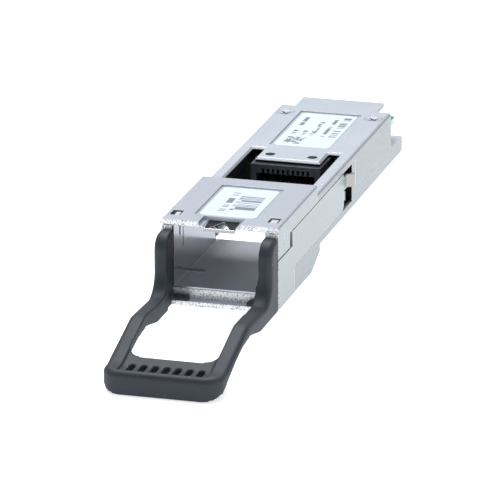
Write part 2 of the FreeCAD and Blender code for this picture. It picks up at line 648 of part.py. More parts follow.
def latch_leaf():
    """The spring leaf in the notch, whose triangular hole catches the boss of the plugged-in module."""
    body = new_body("LatchLeaf")
    root_y, root_z = "notch_depth - fit_gap", "head_top - notch_sink"
    bend_z = f"{root_z} - leaf_fall"
    strip = [
        (root_y, root_z),
        ("leaf_front", bend_z),
        ("0 - leaf_nose", f"{bend_z} - leaf_lip"),
        ("leaf_sheet - leaf_nose", f"{bend_z} - leaf_lip - leaf_sheet/4"),
        ("leaf_front + leaf_sheet/2", f"{bend_z} - leaf_sheet"),
        (root_y, f"{root_z} - leaf_sheet"),
    ]
    pad(body, "leaf_pad", outline(body, "leaf_side", "YZ_Plane", strip), "leaf_width", both_ways=True)
    catch = [("0 - catch_width/2", "catch_start"), ("catch_width/2", "catch_start"),
             ("0", "catch_start + catch_length")]
    hole = outline(body, "catch_outline", "XY_Plane", catch, level="head_top")
    pocket(body, "catch_hole", hole, "3*head_rise")
    finish("latch_leaf", body)


# ---------------------------------------------------------------- slider and handle

def slider():
    """The sheet-metal slider: a skirt under the head, two arms along the sides, kickers and spring lugs."""
    body = new_body("Slider")
    plate = ("half_width - skin", "half_width")
    low = "0 - head_drop"
    add_box(body, "bottom", ("0 - half_width", "half_width"), ("0", "skirt_length"), (low, f"{low} + skin"))
    add_boxes(body, "skirt", plate, ("0", "skirt_length"), (low, "skirt_high"))
    add_boxes(body, "arm", plate, ("arm_start", "arm_end"), ("slider_low", "slider_high"))
    for level, radius in (("slider_low", "tail_round"), ("slider_high", "tail_round/3")):
        round_edges(
            body, "tail_" + level,
            lambda middle, along: parallel(along, ALONG_X) and near(middle.y,
                                           "arm_end") and near(middle.z, level),
            radius,
        )
    bar_x = ("arm_wide + fit_gap - half_width", "half_width - arm_wide - fit_gap")
    add_box(body, "front_bar", bar_x, ("0 - crossbar_reach", "0.1"), (low, f"{low} + crossbar_thick"))
    tang = ("half_width - skin", "half_width - tang_sunk")
    add_boxes(body, "tang", tang, ("0 - tang_reach", "0.1"), ("0 - tang_low", "tang_high"))
    neck_end = "arm_end + kicker_neck"
    kicker_z = ("kicker_low", "kicker_low + kicker_tall")
    add_boxes(body, "neck", plate, ("arm_end - 0.1", neck_end), kicker_z)
    right = [
        ("half_width - skin", f"{neck_end} - kicker_edge"),
        ("half_width", f"{neck_end} - kicker_edge"),
        ("half_width", neck_end),
        ("half_width + kicker_out", f"{neck_end} + kicker_run"),
        ("half_width + kicker_out", f"{neck_end} + kicker_run + kicker_tip"),
        ("half_width + kicker_out - kicker_edge", f"{neck_end} + kicker_run + kicker_tip"),
        ("half_width - skin", f"{neck_end} + kicker_tip"),
    ]
    left = [(f"0 - ({x})", y) for x, y in reversed(right)]
    for name, corners in (("right", right), ("left", left)):
        shape = outline(body, f"kicker_outline_{name}", "XY_Plane", corners, level="kicker_low")
        pad(body, f"kicker_{name}", shape, "kicker_tall")
    roll_z = ("roll_low", "roll_low + roll_tall")
    strip = ("half_width - skin", "half_width - skin/2")
    add_boxes(body, "roll_strip", strip, ("arm_end - 0.1", "arm_end + roll_back"), roll_z)
    for sign, name in (("", "right"), ("0 - ", "left")):
        cylinder_feature(body, "AdditiveCylinder", f"roll_{name}", "roll_radius",
                         f"{sign}(half_width - skin)", "arm_end + roll_back", roll_z)
    lug_x = ("spring_out - spring_radius + fit_gap", "half_width - skin + 0.1")
    lug_z = ("spring_high - spring_radius", "spring_high + spring_radius")
    add_boxes(body, "lug", lug_x, ("spring_end", "spring_end + lug_thick"), lug_z)
    finish("slider_bracket", body)


def pull_handle():
    """The moulded handle: two upright arms in front of the head, a swept loop and a slotted end bar."""
    body = new_body("PullHandle")
    rear = "0 - slide_gap"
    side = [
        (rear, "arm_top"),
        ("0 - arm_depth", "arm_top"),
        ("0 - arm_depth", "0 - crook_low"),
        ("0 - crest_reach", "0 - crest_low"),
        ("bar_flat - handle_reach", "0 - bar_top"),
        ("0 - handle_reach", "0 - bar_top"),
        ("0 - handle_reach", "0 - bar_bottom"),
        ("bar_root - handle_reach", "0 - bar_root_low"),
        ("0 - sweep_reach", "0 - sweep_low"),
        ("0 - fall_reach", "0 - fall_low"),
        ("0 - arch_reach", "0 - arch_low"),
        ("0 - foot_end", "0 - foot_low"),
        (rear, "0 - foot_low"),
    ]
    rounds = {1: "arm_top_round", 2: "crook_round", 3: "sweep_round", 4: "sweep_round", 5: "bar_round",
              9: "sweep_round", 10: "sweep_round", 11: "sweep_round"}
    pad(body, "handle_pad", outline(body, "handle_side", "YZ_Plane", side), "body_width", both_ways=True)
    round_edges(
        body, "loop_corners",
        lambda middle, along: parallel(along, ALONG_Z) and near(middle.y, "0 - handle_reach", 0.3)
        and near(abs(middle.x), "half_width", 0.1),
        "loop_corner",
    )
    for i, radius in rounds.items():
        y, z = side[i]
        round_edges(
            body, f"bend_{i}",
            lambda middle, along: parallel(along, ALONG_X) and near(middle.y, y) and near(middle.z, z),
            radius,
        )
    every_z = ("0 - 2*bar_bottom", "2*arm_top")
    arm_inner = ("arm_wide - half_width", "half_width - arm_wide")
    loop_inner = ("loop_arm - half_width", "half_width - loop_arm")
    cut_box(body, "between_arms", arm_inner, ("0 - arm_depth", "1"), every_z)
    cut_box(body, "finger_hole", loop_inner, ("bar_depth - handle_reach", "0.01 - arm_depth"), every_z)
    round_edges(
        body, "hole_corners",
        lambda middle, along: parallel(along, ALONG_Z) and near(middle.y, "bar_depth - handle_reach", 0.3),
        "hole_corner",
    )
    sunk = "0 - bar_top - rim_depth"
    past_corner = "bar_depth + hole_corner + 0.2"
    slope = "(bar_top - crest_low)/(handle_reach - bar_flat - crest_reach)"
    panel = [
        ("rim_wide - handle_reach", sunk),
        ("bar_flat - handle_reach", sunk),
        (f"{past_corner} - handle_reach", f"{sunk} + ({past_corner} - bar_flat)*{slope}"),
        (f"{past_corner} - handle_reach", "0"),
        ("rim_wide - handle_reach", "0"),
    ]
    panel_side = outline(body, "panel_side", "YZ_Plane", panel)
    pocket(body, "bar_panel", panel_side, "2*(half_width - loop_arm)", both_ways=True)
    middle_y = "0.5*bar_depth - handle_reach"
    half_long = "(slot_long - slot_wide)/2"
    count = 7
    first = f"0 - {(count - 1) / 2}*slot_pitch"
    slot_z = ("0 - 2*bar_bottom", "0")
    parts = [
        cut_box(body, "slot", (f"{first} - slot_wide/2", f"{first} + slot_wide/2"),
                (f"{middle_y} - {half_long}", f"{middle_y} + {half_long}"), slot_z),
        cylinder_feature(body, "SubtractiveCylinder", "slot_front", "slot_wide/2", first,
                         f"{middle_y} - {half_long}", slot_z),
        cylinder_feature(body, "SubtractiveCylinder", "slot_rear", "slot_wide/2", first,
                         f"{middle_y} + {half_long}", slot_z),
    ]
    row = body.newObject("PartDesign::LinearPattern", "slot_row")
    row.Originals = parts
    row.Direction = (plane(body, "X_Axis"), [""])
    bind(row, Length=f"{count - 1}*slot_pitch")
    row.Occurrences = count
    body.Tip = row
    doc.recompute()
    toe_x = ("half_width - arm_wide - toe_length", "half_width - arm_wide + 0.1")
    toe_low = "0 - head_drop + crossbar_thick + fit_gap"
    add_boxes(body, "toe", toe_x, ("0 - crossbar_reach", rear), (toe_low, f"{toe_low} + toe_tall"))
    tang = ("half_width - skin", "half_width - tang_sunk")
    cut_boxes(body, "tang_slot", tang, ("0 - tang_reach", "1"), ("0 - tang_low", "tang_high"))
    finish("pull_handle", body)


def return_spring(name, sign):
    """A compression spring in the side channel, stood in for by a tube of its outline."""
    turn = FreeCAD.Rotation(ALONG_X, -90)
    tubes = []
    for part, radius in (("outer", "spring_radius"), ("bore", "spring_radius - spring_wire")):
        tube = doc.addObject("Part::Cylinder", f"{name}_{part}")
        tube.Placement = FreeCAD.Placement(FreeCAD.Vector(), turn)
        bind(tube, Radius=radius, Height="spring_length", Placement__Base__x=f"{sign}*spring_out",
             Placement__Base__y="spring_start", Placement__Base__z="spring_high")
        tubes.append(tube)
    spring = doc.addObject("Part::Cut", name + "_tube")
    spring.Base, spring.Tool = tubes
    finish(name, spring)


# ---------------------------------------------------------------- electronics

def circuit_board():
    """The board: a neck behind the connector, then the card edge that leaves the body at the rear."""
    body = new_body("CircuitBoard")
    half = [
        ("board_neck/2", "board_start"),
        ("board_neck/2", "board_shoulder"),
        ("board_wide/2", "board_shoulder + shoulder_run"),
        ("board_wide/2", "board_end - card_bevel"),
        ("board_wide/2 - card_bevel", "board_end"),
    ]
    corners = half + [(f"0 - ({x})", y) for x, y in reversed(half)]
    shape = outline(body, "board_outline", "XY_Plane", corners, level="board_level")
    pad(body, "board_pad", shape, "board_thick")
    for sign, name in (("", "right"), ("0 - ", "left")):
        cylinder_feature(body, "SubtractiveCylinder", f"post_notch_{name}", "post_radius + post_gap",
                         f"{sign}screw_x", "screw_y", ("0", "body_height"))
    finish("circuit_board", body)


def row_of_blocks(node, count, width, pitch, y, z):
    """Equal blocks side by side across the width, as one node."""
    blocks = []
    for i in range(count):
        middle = f"{i - (count - 1) / 2}*{pitch}"
        blocks.append(block(f"{node}_{i}", (f"{middle} - {width}/2", f"{middle} + {width}/2"), y, z))
    finish(node, group(node + "_row", blocks))


def connector_housing():
    """The moulded socket on the board's front edge: a mating slot with ten contact cavities each side."""
    base = block("socket_block", ("0 - socket_wide/2", "socket_wide/2"),
                 ("socket_front", "socket_front + socket_deep"), ("socket_low", "socket_top"))
    cuts = [block("socket_mouth", ("0 - mouth_wide/2", "mouth_wide/2"),
                  ("socket_front - 1", "socket_front + mouth_deep"),
                  ("mouth_middle - mouth_tall/2", "mouth_middle + mouth_tall/2"))]
    through = ("socket_front - 1", "socket_front + socket_deep + 1")
    upper = ("board_top", "mouth_middle + mouth_tall/2 + cavity_tall")
    lower = ("mouth_middle - mouth_tall/2 - cavity_tall", "board_level")
    for side, span in (("upper", upper), ("lower", lower)):
        for i in range(10):
            middle = f"{i - 4.5}*pad_pitch"
            x = (f"{middle} - cavity_wide/2", f"{middle} + cavity_wide/2")
            cuts.append(block(f"cavity_{side}_{i}", x, through, span))
    tool = doc.addObject("Part::MultiFuse", "socket_cuts")
    tool.Shapes = cuts
    socket = doc.addObject("Part::Cut", "socket")
    socket.Base, socket.Tool = base, tool
    finish("connector_housing", socket)


def electronics():
    circuit_board()
    connector_housing()
    contact_y = ("socket_front + contact_in", "board_start + contact_tail")
    row_of_blocks("connector_contacts_upper", 10, "contact_wide", "pad_pitch", contact_y,
                  ("board_top", "board_top + contact_thick"))
    row_of_blocks("connector_contacts_lower", 10, "contact_wide", "pad_pitch", contact_y,
                  ("board_level - contact_thick", "board_level"))
    pad_y = ("board_end - pad_back - pad_long", "board_end - pad_back")
    row_of_blocks("card_pads_upper", 19, "pad_wide", "pad_pitch", pad_y,
                  ("board_top", "board_top + pad_thick"))
    row_of_blocks("card_pads_lower", 19, "pad_wide", "pad_pitch", pad_y,
                  ("board_level - pad_thick", "board_level"))
    memory_x = ("0 - chip_size/2 - chip_gap - memory_wide", "0 - chip_size/2 - chip_gap")
    memory = block("memory_chip", memory_x, ("chip_start", "chip_start + memory_long"),
                   ("board_top", "board_top + memory_tall"))
    finish("id_memory", group("memory_place", [memory]))
    controller = block("controller_chip", ("0 - chip_size/2", "chip_size/2"),
                       ("chip_start", "chip_start + chip_size"), ("board_top", "board_top + chip_tall"))
    finish("microcontroller", group("controller_place", [controller]))
    row_of_blocks("coupling_capacitors", 8, "cap_wide", "cap_pitch",
                  ("board_end - cap_back - cap_long", "board_end - cap_back"), ("board_top",
                   "board_top + cap_wide"))


# ---------------------------------------------------------------- fasteners and labels

def cover_screws():
    """Two flush dished screws that hold the housings together at the rear corners."""
    screws = []
    for sign, name in ((1, "right"), (-1, "left")):
        place = {"Placement__Base__x": f"{sign}*screw_x", "Placement__Base__y": "screw_y"}
        head = doc.addObject("Part::Cylinder", f"screw_head_{name}")
        bind(head, Radius="screw_head - fit_gap", Height="lid_thick/2 - fit_gap/2",
             Placement__Base__z="body_height - lid_thick/2", **place)
        shank = doc.addObject("Part::Cylinder", f"screw_shank_{name}")
        bind(shank, Radius="screw_shank", Height="screw_length - lid_thick/4",
             Placement__Base__z="body_height - screw_length", **place)
        dish = doc.addObject("Part::Cone", f"screw_dish_{name}")
        bind(dish, Radius1="dish_base", Radius2="screw_head - dish_rim", Height="dish_deep",
             Placement__Base__z="body_height - fit_gap/2 - dish_deep", **place)
        solid = doc.addObject("Part::Fuse", f"screw_solid_{name}")
        solid.Base, solid.Tool = head, shank
        screw = doc.addObject("Part::Cut", f"screw_{name}")
        screw.Base, screw.Tool = solid, dish
        screws.append(screw)
    finish("cover_screws", group("screw_pair", screws))


def label(node, wide, start, end, top):
    """A printed label with round corners, stuck in its recess."""
    body = new_body("Body_" + node)
    x = (f"label_gap - {wide}/2", f"{wide}/2 - label_gap")
    y = (f"{start} + label_gap", f"{end} - label_gap")
    floor = f"{top} - recess_depth"
    add_box(body, node + "_sheet", x, y, (floor, f"{floor} + label_thick"))
    round_edges(body, node + "_corners", lambda middle, along: parallel(along, ALONG_Z), "1.4*label_gap")
    finish(node, body)


# ---------------------------------------------------------------- build, check and write

lower_housing()
upper_housing()
head_cover()
bay_liner()
latch_leaf()
slider()
pull_handle()
return_spring("return_spring_right", 1)
return_spring("return_spring_left", -1)
electronics()
cover_screws()
label("head_label", "front_recess_wide", "front_recess_start", "front_recess_end", "head_top")
label("rear_label", "rear_recess_wide", "rear_recess_start", "rear_recess_end", "body_height")
doc.recompute()

for thing in doc.Objects:
    if {"Invalid", "Error"} & set(thing.State):
        raise SystemExit(f"{thing.Name} failed: {thing.State}")

os.makedirs("parts", exist_ok=True)
for piece in FINISHED:
    shape = piece.Shape
    if shape.isNull() or not shape.isValid() or not shape.Solids:
        raise SystemExit(f"{piece.Label} has no valid shape")
    shape.exportStep(os.path.join("parts", piece.Label + ".step"))
    print(piece.Label, len(shape.Solids), round(shape.Volume, 2))
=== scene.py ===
import bpy, bmesh, math
from mathutils import Matrix, Vector


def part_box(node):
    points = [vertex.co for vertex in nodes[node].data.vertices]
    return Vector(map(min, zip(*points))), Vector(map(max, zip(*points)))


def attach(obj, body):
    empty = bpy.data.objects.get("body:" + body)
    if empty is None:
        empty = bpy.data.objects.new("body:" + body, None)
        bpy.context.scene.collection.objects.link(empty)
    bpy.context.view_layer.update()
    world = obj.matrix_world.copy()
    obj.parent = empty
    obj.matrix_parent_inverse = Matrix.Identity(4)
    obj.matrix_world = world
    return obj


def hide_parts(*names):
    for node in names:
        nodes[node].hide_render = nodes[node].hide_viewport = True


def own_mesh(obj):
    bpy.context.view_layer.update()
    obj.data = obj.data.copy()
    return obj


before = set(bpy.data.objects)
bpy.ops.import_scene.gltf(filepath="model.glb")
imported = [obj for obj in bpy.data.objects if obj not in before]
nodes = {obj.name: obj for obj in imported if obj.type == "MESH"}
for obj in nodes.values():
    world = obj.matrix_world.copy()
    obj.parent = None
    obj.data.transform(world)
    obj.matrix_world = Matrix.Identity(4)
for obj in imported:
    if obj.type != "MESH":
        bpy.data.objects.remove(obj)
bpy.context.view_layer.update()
MM = 0.001

# ---------------------------------------------------------------- the two die castings
# Tray and lid of the body: zinc alloy, pressure die cast and nickel plated.
# The plating gives a pale satin metal with a fine grain. The edges are lightened as a painted highlight, and
# the sides facing along X are toned as painted shade. The faces at the very front are coarse and speckled.


def linear(hexcode):
    """An sRGB hex colour as linear RGBA."""
    parts = [int(hexcode[i:i + 2], 16) / 255 for i in (0, 2, 4)]
    return [p / 12.92 if p <= 0.04045 else ((p + 0.055) / 1.055) ** 2.4 for p in parts] + [1.0]


def add(tree, kind, inputs=None, **settings):
    """A node with its settings. An input is a value, a hex colour or the output that feeds it."""
    made = tree.nodes.new(kind)
    for name, value in settings.items():
        setattr(made, name, value)
    for name, value in (inputs or {}).items():
        if isinstance(value, bpy.types.NodeSocket):
            tree.links.new(value, made.inputs[name])
        else:
            made.inputs[name].default_value = linear(value) if isinstance(value, str) else value
    return made


def material(name, **sockets):
    """A material with one Principled shader, and its tree."""
    made = bpy.data.materials.new(name)
    made.use_nodes = True
    tree = made.node_tree
    tree.nodes.clear()
    shader = add(tree, "ShaderNodeBsdfPrincipled", {k.replace("_", " "): v for k, v in sockets.items()})
    add(tree, "ShaderNodeOutputMaterial", {"Surface": shader.outputs[0]})
    return made, tree, shader


def paint(mat, *names):
    """Gives CAD nodes this material."""
    for name in names:
        nodes[name].data.materials.clear()
        nodes[name].data.materials.append(mat)


def in_box(tree, place, *limits):
    """1 inside the limits, 0 outside. Each limit is an axis and its two ends in millimetres; W is |X|."""
    spot = add(tree, "ShaderNodeSeparateXYZ", {0: place})
    inside = None
    for axis, low, high in limits:
        value = spot.outputs["X" if axis == "W" else axis]
        if axis == "W":
            value = add(tree, "ShaderNodeMath", {0: value}, operation="ABSOLUTE").outputs[0]
        for test, end in (("GREATER_THAN", low), ("LESS_THAN", high)):
            passed = add(tree, "ShaderNodeMath", {0: value, 1: end * MM}, operation=test).outputs[0]
            inside = passed if inside is None else add(tree, "ShaderNodeMath", {0: inside, 1: passed},
                                                       operation="MULTIPLY").outputs[0]
    return inside


def plated_metal(name, body_hex, dull_hex, metallic, rough, grain_mm, side_shading_hex, speckle, tinted=()):
    """Nickel-plated metal: satin grain, painted edge highlights, painted side shading and speckle on the
    blanked front faces.

    Each tint is a colour and the limits of the box in which it takes over."""
    mat, tree, shader = material(name, Metallic=metallic)
    place = add(tree, "ShaderNodeTexCoord").outputs["Object"]
    facing = add(tree, "ShaderNodeNewGeometry").outputs["Normal"]
    clouds = add(tree, "ShaderNodeTexNoise", {"Vector": place, "Scale": 1 / (7 * MM), "Detail": 3.0})
    grain = add(tree, "ShaderNodeTexNoise", {"Vector": place, "Scale": 1 / (grain_mm * MM), "Detail": 2.0})
    # Painted highlight: at edges, where the bevelled normal turns away from the true one, the colour goes to
    # near white.
    soft = add(tree, "ShaderNodeBevel", {"Radius": 0.11 * MM}, samples=4)
    turned = add(tree, "ShaderNodeVectorMath", {0: soft.outputs[0], 1: facing}, operation="DOT_PRODUCT")
    painted_edge_highlight = add(tree, "ShaderNodeMapRange",
               {"Value": turned.outputs["Value"], "From Min": 0.995, "From Max": 0.86})
    fronts = add(tree, "ShaderNodeSeparateXYZ", {0: facing})
    # Painted light and shade: faces turned along X take the side tone, set for how the light falls on the
    # sides.
    sideways = add(tree, "ShaderNodeMath", {0: fronts.outputs["X"]}, operation="ABSOLUTE")
    painted_side_shading = add(tree, "ShaderNodeMapRange", {"Value": sideways.outputs[0], "From Min": 0.6, "From Max": 0.9})
    colour = add(tree, "ShaderNodeMix", {"Factor": clouds.outputs[0], "A": dull_hex, "B": body_hex},
                 data_type="RGBA").outputs["Result"]
    changes = [(painted_side_shading.outputs[0], side_shading_hex), (painted_edge_highlight.outputs[0], "f6f8fa")]
    changes += [(in_box(tree, place, *limits), tint) for tint, *limits in tinted]
    for where, tint in changes:
        colour = add(tree, "ShaderNodeMix", {"Factor": where, "A": colour, "B": tint},
                     data_type="RGBA").outputs["Result"]
    forward = add(tree, "ShaderNodeMapRange",
                  {"Value": fronts.outputs["Y"], "From Min": -0.93, "From Max": -0.98, "To Max": speckle})
    cut = add(tree, "ShaderNodeMath", {0: forward.outputs[0], 1: in_box(tree, place, ("Y", -26.0, -19.6))},
              operation="MULTIPLY")
    chips = add(tree, "ShaderNodeTexNoise", {"Vector": place, "Scale": 1 / (0.24 * MM), "Detail": 4.0,
                                             "Roughness": 0.7})
    pits = add(tree, "ShaderNodeValToRGB", {"Fac": chips.outputs[0]})
    pits.color_ramp.elements[0].position, pits.color_ramp.elements[0].color = 0.34, linear("5c5f65")
    pits.color_ramp.elements[1].position, pits.color_ramp.elements[1].color = 0.50, linear("f0f2f3")
    speckled = add(tree, "ShaderNodeMix", {"Factor": cut.outputs[0], "A": colour, "B": pits.outputs[0]},
                   data_type="RGBA")
    tree.links.new(speckled.outputs["Result"], shader.inputs["Base Color"])
    satin = add(tree, "ShaderNodeMapRange",
                {"Value": grain.outputs[0], "From Min": 0.3, "From Max": 0.7,
                 "To Min": rough - 0.06, "To Max": rough + 0.06})
    tree.links.new(satin.outputs[0], shader.inputs["Roughness"])
    fine = add(tree, "ShaderNodeBump", {"Strength": 0.12, "Distance": 0.02 * MM, "Height": grain.outputs[0],
                                        "Normal": soft.outputs[0]})
    broken = add(tree, "ShaderNodeMath", {0: chips.outputs[0], 1: cut.outputs[0]}, operation="MULTIPLY")
    rugged = add(tree, "ShaderNodeBump", {"Strength": 0.4, "Distance": 0.08 * MM, "Height": broken.outputs[0],
                                          "Normal": fine.outputs[0]})
    tree.links.new(rugged.outputs[0], shader.inputs["Normal"])
    return mat


# These boxes are toned nearly black to deepen the shadow in them: the room behind the bay, the side recesses,
# the faces behind the slider's arms, the pockets under the snap holes and the step under the front edge. The
# tone is a stand-in for shade. The casting has the same plating there as elsewhere.
socket_room = ("W", 0.0, 7.2), ("Y", 1.4, 23.3), ("Z", 7.7, 15.2)
side_recess = ("W", 7.9, 9.15), ("Y", 14.7, 21.0), ("Z", 8.3, 14.4)
behind_arms = ("W", 8.55, 8.7), ("Y", -21.0, 21.0), ("Z", 4.0, 14.4)
snap_pocket = ("W", 7.2, 8.5), ("Y", -18.9, -16.2), ("Z", 12.0, 16.04)
front_step = ("W", 0.0, 8.6), ("Y", -20.5, -19.7), ("Z", 4.6, 4.93)
casting = plated_metal("nickel_plated_zinc_casting", "cdd3dc", "c3cad3", 0.75, 0.42, 0.25, "90989b", 1.0, [
    ("17181b", *socket_room), ("1b1c1f", *side_recess), ("0b0c0e", *behind_arms), ("0b0c0e", *snap_pocket),
    ("0b0c0e", *front_step)])
paint(casting, "lower_housing", "upper_housing")

# ---------------------------------------------------------------- head cover and slider
# Both are blanked and folded from sheet steel about half a millimetre thick, then nickel plated.
# Their flat faces are a little smoother than the castings, and the edges blanked at the front are speckled.
# The kickers are given a slightly darker and warmer tone than the rest.
kickers = ("W", 9.2, 11.0), ("Y", 15.0, 20.0)
sheet_metal = plated_metal("nickel_plated_sheet_steel", "ccd2dd", "c2c9d2", 0.75, 0.36, 0.16, "929a9d", 1.0,
                           [("a5a2a1", *kickers)])
paint(sheet_metal, "head_cover", "slider_bracket")

# ---------------------------------------------------------------- bay liner
# A thin stainless sheet folded into an open trough. It is left bare, so it shows the fine rolling lines
# along its length and looks darker than the plated pieces round it.
liner, tree, shader = material("rolled_stainless_sheet", Metallic=0.9)
place = add(tree, "ShaderNodeTexCoord").outputs["Object"]
drawn = add(tree, "ShaderNodeMapping", {"Vector": place, "Scale": (1.0, 0.06, 1.0)})
lines = add(tree, "ShaderNodeTexNoise", {"Vector": drawn.outputs[0], "Scale": 1 / (0.12 * MM), "Detail": 3.0})
tone = add(tree, "ShaderNodeMix", {"Factor": lines.outputs[0], "A": "a2a4aa", "B": "bcbec4"},
           data_type="RGBA")
# The fold along the floor and the two bent tabs are given a lighter tone: a painted highlight on the bends.
floor_fold = ("W", 6.96, 7.1), ("Y", -21.1, 2.2), ("Z", 6.6, 6.74)
bent_tabs = ("W", 6.9, 8.6), ("Z", 16.5, 17.0)
for painted_bend_highlight in (floor_fold, bent_tabs):
    tone = add(tree, "ShaderNodeMix", {"Factor": in_box(tree, place, *painted_bend_highlight), "A": tone.outputs["Result"],
                                       "B": "c9ccd1"}, data_type="RGBA")
tree.links.new(tone.outputs["Result"], shader.inputs["Base Color"])
# Its floor is given a rougher surface than its glossy walls.
facing = add(tree, "ShaderNodeSeparateXYZ", {0: add(tree, "ShaderNodeNewGeometry").outputs["Normal"]})
level = add(tree, "ShaderNodeMapRange", {"Value": facing.outputs["Z"], "From Min": 0.4, "From Max": 0.6,
                                         "To Max": 0.30})
shine = add(tree, "ShaderNodeMapRange", {"Value": lines.outputs[0], "To Min": 0.12, "To Max": 0.24})
both = add(tree, "ShaderNodeMath", {0: level.outputs[0], 1: shine.outputs[0]}, operation="ADD")
tree.links.new(both.outputs[0], shader.inputs["Roughness"])
score = add(tree, "ShaderNodeBump", {"Strength": 0.15, "Distance": 0.02 * MM, "Height": lines.outputs[0]})
tree.links.new(score.outputs[0], shader.inputs["Normal"])
paint(liner, "bay_liner")

# ---------------------------------------------------------------- latch leaf
# A spring-steel leaf in the notch of the cover, with the triangular hole that holds the plugged-in module.
# Its dark tone is a painted reflection of dark surroundings, and its bright turned-down lip is a painted
# highlight.
spring_steel = plated_metal("spring_steel_painted_dark_reflection", "3c3f45", "2c2f34", 0.9, 0.2, 0.12, "7a7d82", 0.0,
                            [("f4f5f6", ("Y", -21.4, -20.85))])
paint(spring_steel, "latch_leaf")

# ---------------------------------------------------------------- return springs
# Two compression springs in the side channels push the slider home. Each is a plain helix of round wire with
# an even pitch.


def link_mesh(name, mesh, mat=None):
    """A new object at the origin that holds this mesh."""
    made = bpy.data.objects.new(name, mesh)
    bpy.context.scene.collection.objects.link(made)
    if mat:
        mesh.materials.clear()
        mesh.materials.append(mat)
    return made


def socket(tree, label, kind, value):
    """A named input of a geometry tree."""
    tree.interface.new_socket(label, in_out="INPUT", socket_type=kind).default_value = value


def grow(name, tree, mat, **values):
    """Runs a geometry tree on an empty mesh and keeps the result as a plain mesh object."""
    seed = link_mesh(name, bpy.data.meshes.new(name + "_seed"))
    run = seed.modifiers.new("made", "NODES")
    run.node_group = tree
    for item in tree.interface.items_tree:
        if item.in_out == "INPUT" and item.name in values:
            run[item.identifier] = values[item.name]
    bpy.context.view_layer.update()
    evaluated = seed.evaluated_get(bpy.context.evaluated_depsgraph_get())
    mesh = bpy.data.meshes.new_from_object(evaluated)
    mesh.name = name
    seed.modifiers.clear()
    seed.data = mesh
    if not mesh.materials:
        mesh.materials.append(mat)
    return seed


coil = bpy.data.node_groups.new("wound_spring", "GeometryNodeTree")
for label, value in (("turns", 11.0), ("mean_radius", 0.4 * MM), ("free_length", 9 * MM),
                     ("wire_radius", 0.09 * MM)):
    socket(coil, label, "NodeSocketFloat", value)
socket(coil, "foot", "NodeSocketVector", (0.0, 0.0, 0.0))
coil.interface.new_socket("mesh", in_out="OUTPUT", socket_type="NodeSocketGeometry")
given = add(coil, "NodeGroupInput").outputs
helix = add(coil, "GeometryNodeCurveSpiral",
            {"Resolution": 20, "Rotations": given["turns"], "Start Radius": given["mean_radius"],
             "End Radius": given["mean_radius"], "Height": given["free_length"]})
wire = add(coil, "GeometryNodeCurvePrimitiveCircle", {"Resolution": 8, "Radius": given["wire_radius"]})
wound = add(coil, "GeometryNodeCurveToMesh", {"Curve": helix.outputs[0], "Profile Curve": wire.outputs[0],
                                              "Fill Caps": True})
laid = add(coil, "GeometryNodeTransform", {"Geometry": wound.outputs[0], "Translation": given["foot"],
                                           "Rotation": (-math.pi / 2, 0.0, 0.0)})
real = add(coil, "GeometryNodeRealizeInstances", {"Geometry": laid.outputs[0]})
clad = add(coil, "GeometryNodeSetMaterial", {"Geometry": real.outputs[0], "Material": spring_steel})
add(coil, "NodeGroupOutput", {"mesh": clad.outputs[0]})

for side in ("right", "left"):
    low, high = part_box("return_spring_" + side)
    outer = (high.x - low.x) / 2
    wire_radius = 0.09 * MM
    length = high.y - low.y
    spring = grow("wound_spring_" + side, coil, spring_steel, mean_radius=outer - wire_radius,
                  free_length=length - 2 * wire_radius, wire_radius=wire_radius,
                  foot=((low.x + high.x) / 2, low.y + wire_radius, (low.z + high.z) / 2))
    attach(spring, "root")
    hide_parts("return_spring_" + side)
    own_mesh(spring)

# ---------------------------------------------------------------- pull handle
# One moulding of glass-filled thermoplastic: two upright arms, a swept loop for a finger and a slotted end
# bar. Its edges are generously rounded, its skin is matt and finely spark-textured, and pale dust specks lie
# on it.
handle_mesh = nodes["pull_handle"].data.copy()
shape = bmesh.new()
shape.from_mesh(handle_mesh)
bmesh.ops.remove_doubles(shape, verts=shape.verts, dist=0.002 * MM)
bmesh.ops.recalc_face_normals(shape, faces=shape.faces)
shape.to_mesh(handle_mesh)
shape.free()
handle = link_mesh("moulded_handle", handle_mesh)
skin = handle.modifiers.new("even_skin", "REMESH")
skin.mode = "VOXEL"
skin.voxel_size = 0.2 * MM
rounding = handle.modifiers.new("rounded_edges", "SMOOTH")
rounding.factor = 0.5
rounding.iterations = 4
thin_out = handle.modifiers.new("fewer_faces", "DECIMATE")
thin_out.ratio = 0.5
bpy.context.view_layer.update()
finished = bpy.data.meshes.new_from_object(handle.evaluated_get(bpy.context.evaluated_depsgraph_get()))
handle.modifiers.clear()
handle.data = finished
for polygon in finished.polygons:
    polygon.use_smooth = True

plastic, tree, shader = material("spark_textured_thermoplastic", IOR=1.5)
place = add(tree, "ShaderNodeTexCoord").outputs["Object"]
spark = add(tree, "ShaderNodeTexNoise", {"Vector": place, "Scale": 1 / (0.11 * MM), "Detail": 2.0})
patches = add(tree, "ShaderNodeTexNoise", {"Vector": place, "Scale": 1 / (6 * MM), "Detail": 4.0})
dust = add(tree, "ShaderNodeTexVoronoi", {"Vector": place, "Scale": 1 / (2.2 * MM)})
tone = add(tree, "ShaderNodeMix", {"Factor": patches.outputs[0], "A": "141c25", "B": "242e39"},
           data_type="RGBA")
speck = add(tree, "ShaderNodeMapRange",
            {"Value": dust.outputs["Distance"], "From Min": 0.045, "From Max": 0.025})
dusty = add(tree, "ShaderNodeMix", {"Factor": speck.outputs[0], "A": tone.outputs["Result"], "B": "8e979d"},
            data_type="RGBA")
tree.links.new(dusty.outputs["Result"], shader.inputs["Base Color"])
matt = add(tree, "ShaderNodeMapRange", {"Value": patches.outputs[0], "To Min": 0.50, "To Max": 0.66})
tree.links.new(matt.outputs[0], shader.inputs["Roughness"])
